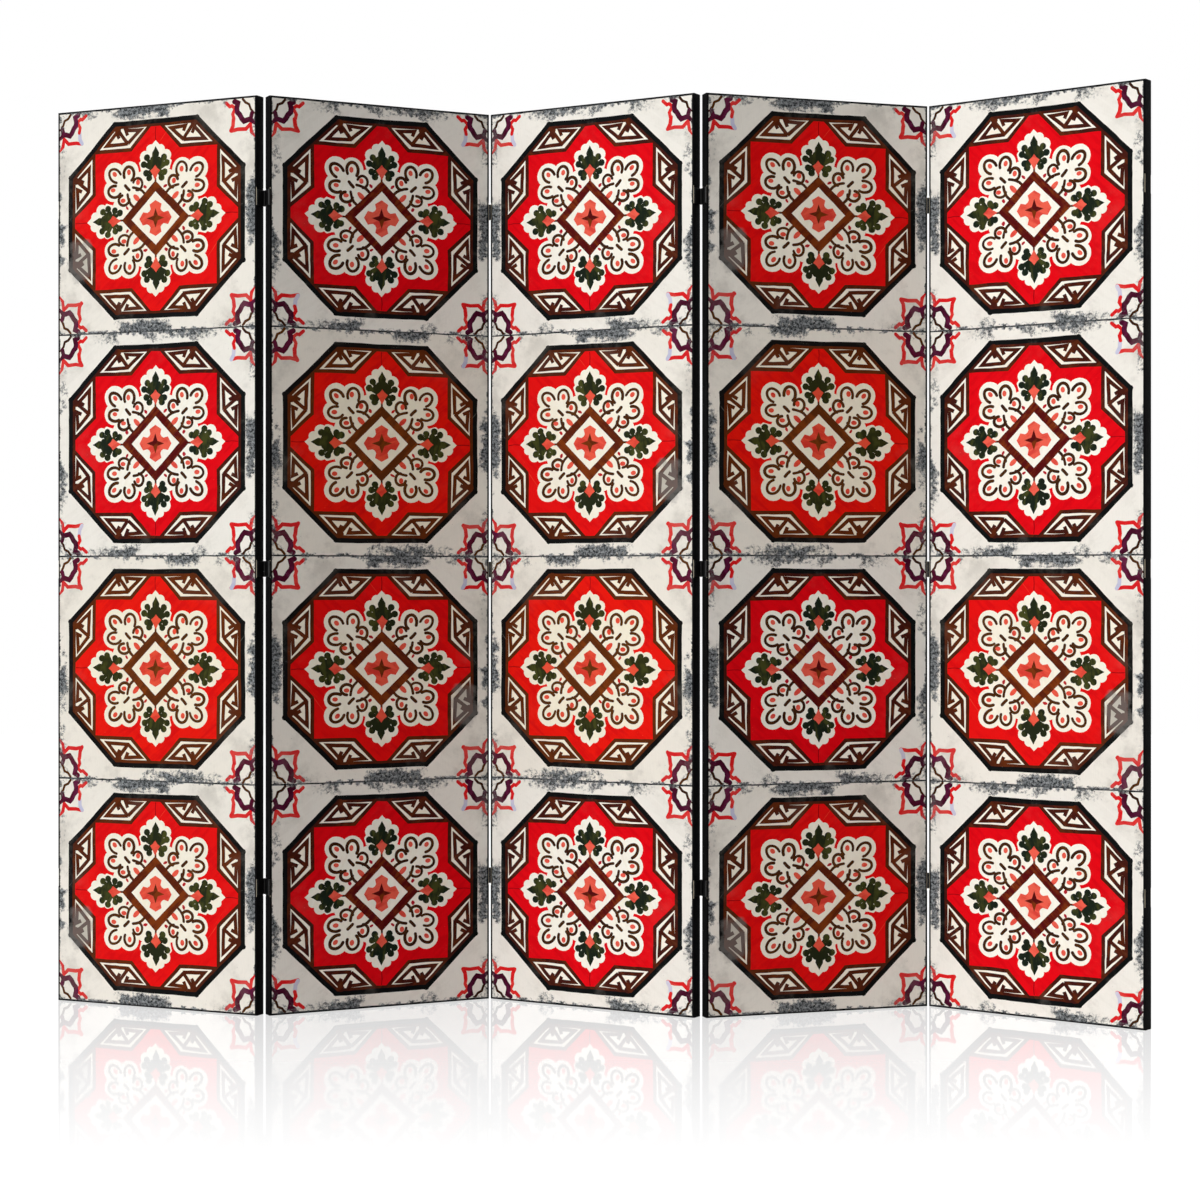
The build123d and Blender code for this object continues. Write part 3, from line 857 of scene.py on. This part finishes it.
def make_column_tree(collection, rows):
    """Geometry Nodes that stand tiles above each other and give each face its ink."""
    tree = bpy.data.node_groups.new("tile_column", "GeometryNodeTree")
    net = Net(tree)

    def socket(label, kind, side="INPUT"):
        return tree.interface.new_socket(label, in_out=side, socket_type="NodeSocket" + kind).identifier

    socket("Geometry", "Geometry")
    sockets = {"pitch": socket("Tile Pitch", "Float"), "first": socket("First Tile Height", "Float"),
               "picks": [socket(f"Tile {row + 1}", "Int") for row in range(rows)]}
    socket("Geometry", "Geometry", "OUTPUT")
    given = net.add("NodeGroupInput").outputs
    step = net.add("ShaderNodeCombineXYZ", {2: given["Tile Pitch"]}).outputs[0]
    start = net.add("ShaderNodeCombineXYZ", {2: given["First Tile Height"]}).outputs[0]
    line = net.add("GeometryNodeMeshLine", {"Count": rows, "Start Location": start, "Offset": step})
    pool = net.add("GeometryNodeCollectionInfo", {"Collection": collection, "Separate Children": True})
    choice = net.add("GeometryNodeIndexSwitch", data_type="INT")
    while len(choice.index_switch_items) < rows:
        choice.index_switch_items.new()
    net.fill(choice.inputs, {0: net.add("GeometryNodeInputIndex").outputs[0]})
    net.fill(choice.inputs, {row + 1: given[f"Tile {row + 1}"] for row in range(rows)})
    tiles = net.add("GeometryNodeInstanceOnPoints",
                    {"Points": line.outputs[0], "Instance": pool.outputs[0], "Pick Instance": True,
                     "Instance Index": choice.outputs[0]})
    whole = net.add("GeometryNodeRealizeInstances", {0: tiles.outputs[0]}).outputs[0]
    whole = net.add("GeometryNodeMergeByDistance", {"Geometry": whole, "Distance": 0.02 * MM}).outputs[0]
    ink = net.add("GeometryNodeInputNamedAttribute", {"Name": "ink"}, data_type="INT").outputs[0]
    for number, name in enumerate(INKS):
        same = net.add("FunctionNodeCompare", {2: ink, 3: number}, data_type="INT", operation="EQUAL").outputs[0]
        inputs = {"Geometry": whole, "Selection": same, "Material": bpy.data.materials[name]}
        whole = net.add("GeometryNodeSetMaterial", inputs).outputs[0]
    net.add("NodeGroupOutput", {0: whole})
    return tree, sockets


def printed_field(number, tree, sockets, pitch, first):
    """The whole printed front of one panel, flat in its own axes at depth 0."""
    carrier = bpy.data.objects.new(f"print_carrier_{number}", bpy.data.meshes.new("print_carrier"))
    bpy.context.scene.collection.objects.link(carrier)
    modifier = carrier.modifiers.new("tiles", "NODES")
    modifier.node_group = tree
    modifier[sockets["pitch"]] = pitch
    modifier[sockets["first"]] = first
    names = sorted(tile_name(letter, mirrored) for letter, _, _ in VARIANTS for mirrored in (False, True))
    for socket, (letter, mirrored) in zip(sockets["picks"], TILE_PLAN[number - 1]):
        modifier[socket] = names.index(tile_name(letter, mirrored))
    bpy.context.view_layer.update()
    evaluated = carrier.evaluated_get(bpy.context.evaluated_depsgraph_get())
    mesh = bpy.data.meshes.new_from_object(evaluated)
    bpy.data.objects.remove(carrier)
    return mesh


def boundary_loop(bm):
    """The open edge of a flat field as a list of vertices in order."""
    edges = [e for e in bm.edges if e.is_boundary]
    start = edges[0].verts[0]
    loop, previous, vertex = [start], None, start
    while True:
        edge = next(e for e in vertex.link_edges if e.is_boundary and e is not previous)
        vertex, previous = edge.other_vert(vertex), edge
        if vertex is start:
            return loop
        loop.append(vertex)


def wrap_profile(cloth, side):
    """Rings from the print's edge round the side to the turned margin, and back inside.

    Each ring is (overhang past the panel's outline at the sides, the same at the ends, depth). The upright
    edges are rounded by the radius given as side.
    """
    front, back, end = CANVAS_LOW.y, CANVAS_HIGH.y, cloth.end_round
    rings = []
    for i in range(ROUND_STEPS + 1):
        bend = math.pi / 2 * i / ROUND_STEPS
        inward = math.sin(bend) - 1
        rings.append((side * inward, end * inward, front + side - side * math.cos(bend)))
    rings += [(over, over_end, front + back - depth) for over, over_end, depth in reversed(rings)]
    margin, thickness = cloth.margin, cloth.thickness
    for over, depth in ((margin * 0.5, back), (margin, back), (margin, back - thickness),
                        (thickness, back - thickness), (thickness, front + thickness)):
        rings.append((-over, -over, depth))
    return rings


class BakeSheet:
    """Lays a canvas out in the unit square: four tiles two by two, the sides as strips beside and above."""

    def __init__(self, half_width, pitch, height, reach):
        self.half_width, self.pitch, self.height, self.reach = half_width, pitch, height, reach
        self.strip, self.pad = 28 * MM, 6 * MM
        self.size = 4 * half_width + 4 * self.strip

    def scaled(self, x, y):
        """A place on the sheet in metres as its share of the sheet."""
        return (x / self.size, y / self.size)

    def across(self, column, x):
        """How far over a point lies in one of the two tile-wide columns."""
        return 4 * self.strip + (2 * column + 1) * self.half_width + x

    def tile(self, row, x, above_middle):
        """A point of the print."""
        return self.scaled(self.across(row % 2, x), (row // 2 + 0.5) * self.pitch + above_middle)

    def side(self, right, upper, z, run):
        """A point on an upright side; each side is cut at half its height."""
        column = 2 * right + upper
        over = self.pad / 2 + run / self.reach * (self.strip - self.pad)
        return self.scaled(column * self.strip + over, 2 * self.pad + z - upper * self.height / 2)

    def end(self, top, x, run):
        """A point on the top or the bottom side."""
        return self.scaled(self.across(top, x), 2 * self.pitch + self.pad + run)

    def inside(self, x, z):
        """A point of the hidden reverse, which is squeezed into the sheet's corner."""
        return (0.99 + x * 0.01, 0.99 + z * 0.002)


def map_print(bm, maps, sheet):
    """Cloth and bake coordinates of the printed field."""
    for face in bm.faces:
        row = int((face.calc_center_median().z - END_BORDER) / sheet.pitch)
        middle = END_BORDER + (row + 0.5) * sheet.pitch
        for corner in face.loops:
            x, z = corner.vert.co.x, corner.vert.co.z
            corner[maps["cloth"]].uv = (x, z)
            corner[maps["OFBake"]].uv = sheet.tile(row, x, z - middle)


def map_side_face(face, maps, sheet, places, runs):
    """Cloth and bake coordinates of a face of the wrapped edge, its corners given as runs along the cloth."""
    upright = abs(places[0][0] - places[1][0]) < abs(places[0][1] - places[1][1])
    middle = sum((v.co for v in face.verts), Vector()) / 4
    for corner, (x, z), run in zip(face.loops, places, runs):
        if upright:
            right = x > 0
            corner[maps["cloth"]].uv = (x + run if right else x - run, corner.vert.co.z)
            corner[maps["OFBake"]].uv = sheet.side(right, middle.z > sheet.height / 2, corner.vert.co.z, run)
        else:
            top = z > sheet.height / 2
            corner[maps["cloth"]].uv = (corner.vert.co.x, z + run if top else z - run)
            corner[maps["OFBake"]].uv = sheet.end(top, x, run)


def beside_hinge(x, z):
    """Whether a point of the print's edge lies at a hinge's height, where the cloth is pressed rounder."""
    slack = 0.01 * MM
    return abs(x) > FIELD_HALF - slack and any(low - slack < z < high + slack for low, high in HINGE_ZONES)


def cut_at_hinges(bm):
    """Cuts the print across at the heights where the rounding of its upright edges changes."""
    for low, high in HINGE_ZONES:
        for cut in (low - HINGE_RUN, low, high, high + HINGE_RUN):
            bmesh.ops.bisect_plane(bm, geom=[*bm.verts, *bm.edges, *bm.faces], dist=0.001 * MM,
                                   plane_co=(0, 0, cut), plane_no=(0, 0, 1))


def wrap_shells(bm, places, rings, eased, height):
    """Rows of new vertices round the print, one row for each ring of the wrap."""
    beside = [beside_hinge(x, z) for x, z in places]
    shells = []
    for ring, easy in zip(rings, eased):
        shell = []
        for (x, z), near in zip(places, beside):
            side_over, end_over, depth = easy if near else ring
            grow_x = (TILE_WIDE / 2 + side_over) / FIELD_HALF
            grow_z = (height + 2 * end_over) / (ROWS * TILE_TALL)
            shell.append(bm.verts.new((x * grow_x, depth, height / 2 + (z - height / 2) * grow_z)))
        shells.append(shell)
    return shells


def make_canvas(number, field, cloth):
    """A panel's canvas: the print, and the black cloth that goes round the frame's edges and in behind it."""
    height = CANVAS_HIGH.z - CANVAS_LOW.z
    rings, eased = wrap_profile(cloth, cloth.edge_round), wrap_profile(cloth, cloth.hinge_round)
    runs = [0.0, SIDE_BORDER - cloth.edge_round]
    for before, after in zip(rings, rings[1:]):
        runs.append(runs[-1] + math.dist((before[0], before[2]), (after[0], after[2])))
    sheet = BakeSheet(FIELD_HALF, TILE_TALL, height, runs[-3])
    bm = bmesh.new()
    bm.from_mesh(field)
    inks = [INKS.index(material.name) if material else 0 for material in field.materials]
    bpy.data.meshes.remove(field)
    for face in bm.faces:
        face.material_index = inks[face.material_index]
    maps = {name: bm.loops.layers.uv.new(name) for name in ("cloth", "OFBake")}
    cut_at_hinges(bm)
    map_print(bm, maps, sheet)
    for vertex in bm.verts:
        vertex.co.y = CANVAS_LOW.y
    loop = boundary_loop(bm)
    places = [(v.co.x, v.co.z) for v in loop]
    shells = [loop, *wrap_shells(bm, places, rings, eased, height)]
    black, reverse = len(INKS), len(INKS) + 1
    for k, (ring, following) in enumerate(zip(shells, shells[1:])):
        outside = k < len(rings) - 2
        for i, j in zip(range(len(loop)), [*range(1, len(loop)), 0]):
            face = bm.faces.new((ring[i], ring[j], following[j], following[i]))
            face.material_index = black if outside else reverse
            face.smooth = 0 < k < 2 * ROUND_STEPS + 2
            if outside:
                map_side_face(face, maps, sheet, (places[i], places[j], places[j], places[i]),
                              (runs[k], runs[k], runs[k + 1], runs[k + 1]))
    cap = bm.faces.new(shells[-1])
    cap.material_index = reverse
    bmesh.ops.triangulate(bm, faces=[cap], ngon_method="EAR_CLIP")
    for face in bm.faces:
        if face.material_index == reverse:
            for corner in face.loops:
                corner[maps["cloth"]].uv = (corner.vert.co.x, corner.vert.co.z)
                corner[maps["OFBake"]].uv = sheet.inside(corner.vert.co.x, corner.vert.co.z)
    bmesh.ops.recalc_face_normals(bm, faces=bm.faces)
    bm.transform(panel_place(number))
    return finished_piece(f"canvas_wrap_{number}", bm, [*INKS, "side_black", "canvas_reverse"])


def finished_piece(name, bm, materials):
    """A mesh object at the origin, with its materials."""
    mesh = bpy.data.meshes.new(name)
    bm.to_mesh(mesh)
    bm.free()
    for material in materials:
        mesh.materials.append(bpy.data.materials[material])
    piece = bpy.data.objects.new(name, mesh)
    bpy.context.scene.collection.objects.link(piece)
    return piece


BACKING_COLUMNS, BACKING_ROWS = 44, 152

# How far the backing rises in the middle, where it swells, and beside its staples, where it puckers
BACKING_SWELL, BACKING_PUCKER = 0.12 * MM, 0.1 * MM

# The backing on its bake sheet: scale, corner, and how far over its upper half lies
BACKING_SCALE, BACKING_CORNER, BACKING_OVER = 1.9, (0.004, 0.012), 0.46


def backing_rise(x, z, number):
    """How far a panel's backing cloth rises at a point."""
    low, high = BACKING_LOW, BACKING_HIGH
    edge = min(x - low.x, high.x - x, z - low.z, high.z - z)
    swell = (0.5 + 0.5 * noise.noise(Vector((x * 9, z * 9, number * 2.3)))) * min(1.0, edge / (60 * MM))
    pucker = max(0.0, 1 - edge / (30 * MM)) * (0.5 + 0.5 * math.sin(z * 54 + x * 54))
    return swell * BACKING_SWELL + pucker * BACKING_PUCKER


def make_backing(number):
    """A panel's backing cloth: a thin closed sheet that rises a little between its staples."""
    low, high = BACKING_LOW, BACKING_HIGH
    columns, rows = BACKING_COLUMNS, BACKING_ROWS
    bm = bmesh.new()
    cloth_map, bake_map = bm.loops.layers.uv.new("cloth"), bm.loops.layers.uv.new("OFBake")
    layers = []
    for depth, rises in ((high.y, True), (low.y, False)):
        layer = []
        for j in range(rows + 1):
            for i in range(columns + 1):
                x = low.x + (high.x - low.x) * i / columns
                z = low.z + (high.z - low.z) * j / rows
                layer.append(bm.verts.new((x, depth + (backing_rise(x, z, number) if rises else 0.0), z)))
        layers.append(layer)
    wide = columns + 1
    for layer in layers:
        for j in range(rows):
            for i in range(columns):
                a = j * wide + i
                face = bm.faces.new([layer[n] for n in (a, a + 1, a + wide + 1, a + wide)])
                face.smooth = True
    rim = [*range(columns), *range(columns, rows * wide + columns, wide),
           *range(rows * wide + columns, rows * wide, -1), *range(rows * wide, 0, -wide)]
    for a, b in zip(rim, rim[1:] + rim[:1]):
        bm.faces.new((layers[0][a], layers[0][b], layers[1][b], layers[1][a]))
    span = high.z - low.z
    for face in bm.faces:
        upper = face.calc_center_median().z - low.z > span / 2
        over, down = (BACKING_OVER, span / 2) if upper else (0, 0)
        for corner in face.loops:
            x, z = corner.vert.co.x - low.x, corner.vert.co.z - low.z
            corner[cloth_map].uv = (x, z)
            corner[bake_map].uv = ((x + over) / span * BACKING_SCALE + BACKING_CORNER[0],
                                   (z - down) / span * BACKING_SCALE + BACKING_CORNER[1])
    bmesh.ops.recalc_face_normals(bm, faces=bm.faces)
    bm.transform(panel_place(number))
    return finished_piece(f"backing_cloth_{number}", bm, ["backing_black"])


# Operators

class SCREEN_OT_finishes(bpy.types.Operator):
    """Makes the shared shader groups, and the ink and cloth materials of the screen."""
    bl_idname = "screen.finishes"
    bl_label = "Make the finishes"

    def execute(self, context):
        cloth = context.scene.screen_cloth
        for make in (make_weave_group, make_age_group, make_cloth_group, make_metal_group, make_grain_group):
            make()
        make_ink_group(cloth.thread)
        for name, row in INK_TABLE.items():
            make_ink(name, [ink_value(value, context.scene.screen_print) for value in row])
        make_cloth("side_black", tuple(cloth.side), shown(18, 18, 19), cloth.thread, 0.15 * MM)
        make_cloth("canvas_reverse", shown(214, 204, 182), shown(196, 184, 160), cloth.thread, 0.15 * MM)
        make_cloth("backing_black", tuple(cloth.backing), shown(46, 46, 48), cloth.thread * 0.8, 0.12 * MM)
        return {"FINISHED"}


class SCREEN_OT_canvases(bpy.types.Operator):
    """Prints the tiles and wraps each panel in its canvas."""
    bl_idname = "screen.canvases"
    bl_label = "Make the canvases"

    def execute(self, context):
        settings, cloth = context.scene.screen_print, context.scene.screen_cloth
        stencils = bpy.data.collections.new("tile_stencils")
        context.scene.collection.children.link(stencils)
        for letter, seed, variant in VARIANTS:
            shapes = draw_tile(seed, settings)
            for mirrored in (False, True):
                name = tile_name(letter, mirrored)
                stencils.objects.link(make_stencil(name, shapes, seed, variant, mirrored, settings))
        tree, sockets = make_column_tree(stencils, ROWS)
        for number in PANELS:
            field = printed_field(number, tree, sockets, TILE_TALL, END_BORDER + TILE_TALL / 2)
            piece = make_canvas(number, field, cloth)
            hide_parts(f"panel_{number}_canvas")
            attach(piece, f"panel_{number}")
        for stencil in list(stencils.objects):
            bpy.data.objects.remove(stencil)
        bpy.data.collections.remove(stencils)
        return {"FINISHED"}


class SCREEN_OT_backings(bpy.types.Operator):
    """Makes the cloth on each panel's back."""
    bl_idname = "screen.backings"
    bl_label = "Make the backing cloths"

    def execute(self, context):
        for number in PANELS:
            piece = make_backing(number)
            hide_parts(f"panel_{number}_backing")
            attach(piece, f"panel_{number}")
        return {"FINISHED"}


class SCREEN_OT_timber(bpy.types.Operator):
    """Finishes the pine frames inside the panels."""
    bl_idname = "screen.timber"
    bl_label = "Finish the pine"

    def execute(self, context):
        make_pine("pine_upright", 0.0, (1.0, 1.0, 0.05))
        for number in PANELS:
            make_pine(f"pine_level_{number}", panel_place(number).to_euler().z, (0.05, 1.0, 1.0))
            for part in ("stile_left", "stile_right"):
                dress(f"panel_{number}_{part}", "pine_upright")
            for part in ("top_rail", "bottom_rail", "cross_bars"):
                dress(f"panel_{number}_{part}", f"pine_level_{number}")
        return {"FINISHED"}


class SCREEN_OT_hardware(bpy.types.Operator):
    """Finishes hinges, screws, pins and staples."""
    bl_idname = "screen.hardware"
    bl_label = "Finish the hardware"

    def execute(self, context):
        make_metal("hinge_black", shown(9, 9, 10), shown(44, 44, 46), 0.46)
        make_metal("screw_black", shown(14, 14, 15), shown(84, 84, 86), 0.4)
        make_metal("pin_wire", shown(96, 96, 98), shown(72, 70, 67), 0.3, (1, 1, 0.05), painted=False)
        make_metal("staple_wire", shown(206, 207, 210), shown(150, 148, 142), 0.28, painted=False)
        for number in PANELS:
            dress(f"panel_{number}_hinge_leaves", "hinge_black")
            dress(f"panel_{number}_hinge_screws", "screw_black")
            dress(f"panel_{number}_staples", "staple_wire")
        for fold in FOLDS:
            dress(f"fold_{fold}_hinge_flaps", "hinge_black")
            dress(f"fold_{fold}_hinge_pins", "pin_wire")
        return {"FINISHED"}


WHITE = (1, 1, 1, 1)


def make_floor():
    """A white floor that keeps the shadow, and mirrors the screen faintly near its foot."""
    net = new_material("floor_white")
    place = net.add("ShaderNodeTexCoord").outputs["Object"]
    away = net.calc("ABSOLUTE", net.parts(place)[1])
    mirror = net.ramp(away, 0.05, 1.48, 0.37, 0.0, "LINEAR")
    white = net.add("ShaderNodeEmission", {"Color": WHITE, "Strength": 1.16}).outputs[0]
    matt = net.add("ShaderNodeBsdfDiffuse", {"Color": (0.86, 0.86, 0.86, 1)}).outputs[0]
    gloss = net.add("ShaderNodeBsdfGlossy", {"Color": WHITE, "Roughness": 0.03}).outputs[0]
    seen = net.times(net.add("ShaderNodeLightPath").outputs["Is Camera Ray"], 0.88)
    base = net.add("ShaderNodeMixShader", {0: seen, 1: matt, 2: white}).outputs[0]
    whole = net.add("ShaderNodeMixShader", {0: mirror, 1: base, 2: gloss}).outputs[0]
    net.add("ShaderNodeOutputMaterial", {"Surface": whole})
    bm = bmesh.new()
    bmesh.ops.create_grid(bm, x_segments=8, y_segments=8, size=9)
    floor = finished_piece("floor", bm, ["floor_white"])


def make_world(fill):
    """White behind the screen and in reflections, and an even fill light."""
    world = bpy.data.worlds.new("studio")
    bpy.context.scene.world = world
    world.use_nodes = True
    world.node_tree.nodes.clear()
    net = Net(world.node_tree)
    path = net.add("ShaderNodeLightPath").outputs
    seen = net.plus(path["Is Camera Ray"], path["Is Glossy Ray"], clamp=True)
    seen = net.plus(seen, path["Is Transmission Ray"], clamp=True)
    background = net.add("ShaderNodeBackground", {"Color": WHITE, "Strength": net.mix(seen, fill, 1.0)})
    net.add("ShaderNodeOutputWorld", {"Surface": background.outputs[0]})


def make_sun(name, strength, heading, height, softness):
    """A soft distant lamp. Its light comes from a heading and height in degrees; 0 is from the front."""
    lamp = bpy.data.lights.new(name, "SUN")
    lamp.energy, lamp.angle = strength, math.radians(softness)
    body = bpy.data.objects.new(name, lamp)
    body.rotation_euler = (math.radians(90 - height), 0, math.radians(heading))
    bpy.context.scene.collection.objects.link(body)


class SCREEN_OT_stage(bpy.types.Operator):
    """Sets up camera, floor and soft studio light."""
    bl_idname = "screen.stage"
    bl_label = "Set the stage"

    def execute(self, context):
        scene, stage = context.scene, context.scene.screen_stage
        scene.view_settings.view_transform = "Standard"
        camera = bpy.data.cameras.new("camera")
        camera.lens, camera.sensor_width, camera.shift_y = stage.focal, 36, stage.shift
        body = bpy.data.objects.new("camera", camera)
        body.location, body.rotation_euler = stage.eye, (math.radians(90), 0, 0)
        scene.collection.objects.link(body)
        scene.camera = body
        make_floor()
        make_world(stage.fill)
        make_sun("key", stage.key, heading=-51, height=11, softness=70)
        make_sun("back_light", stage.key * 0.4, heading=150, height=35, softness=60)
        return {"FINISHED"}


OPERATORS = (SCREEN_OT_finishes, SCREEN_OT_canvases, SCREEN_OT_backings, SCREEN_OT_timber, SCREEN_OT_hardware,
             SCREEN_OT_stage)
SETTINGS = {"screen_print": PrintSettings, "screen_cloth": ClothSettings, "screen_stage": StageSettings}


class SCREEN_PT_finish(bpy.types.Panel):
    """Lists the settings and the steps."""
    bl_idname = "SCREEN_PT_finish"
    bl_label = "Folding screen"
    bl_space_type = "VIEW_3D"
    bl_region_type = "UI"
    bl_category = "Folding screen"

    def draw(self, context):
        for name, kind in SETTINGS.items():
            box = self.layout.box()
            for setting in kind.__annotations__:
                box.prop(getattr(context.scene, name), setting)
        for operator in OPERATORS:
            self.layout.operator(operator.bl_idname)


CLASSES = (*SETTINGS.values(), *OPERATORS, SCREEN_PT_finish)


def register():
    for kind in CLASSES:
        bpy.utils.register_class(kind)
    for name, kind in SETTINGS.items():
        setattr(bpy.types.Scene, name, PointerProperty(type=kind))


def unregister():
    for name in SETTINGS:
        delattr(bpy.types.Scene, name)
    for kind in reversed(CLASSES):
        bpy.utils.unregister_class(kind)


def main():
    register()
    bpy.ops.screen.finishes()
    bpy.ops.screen.canvases()
    bpy.ops.screen.backings()
    bpy.ops.screen.timber()
    bpy.ops.screen.hardware()
    bpy.ops.screen.stage()


if __name__ == "__main__":
    main()
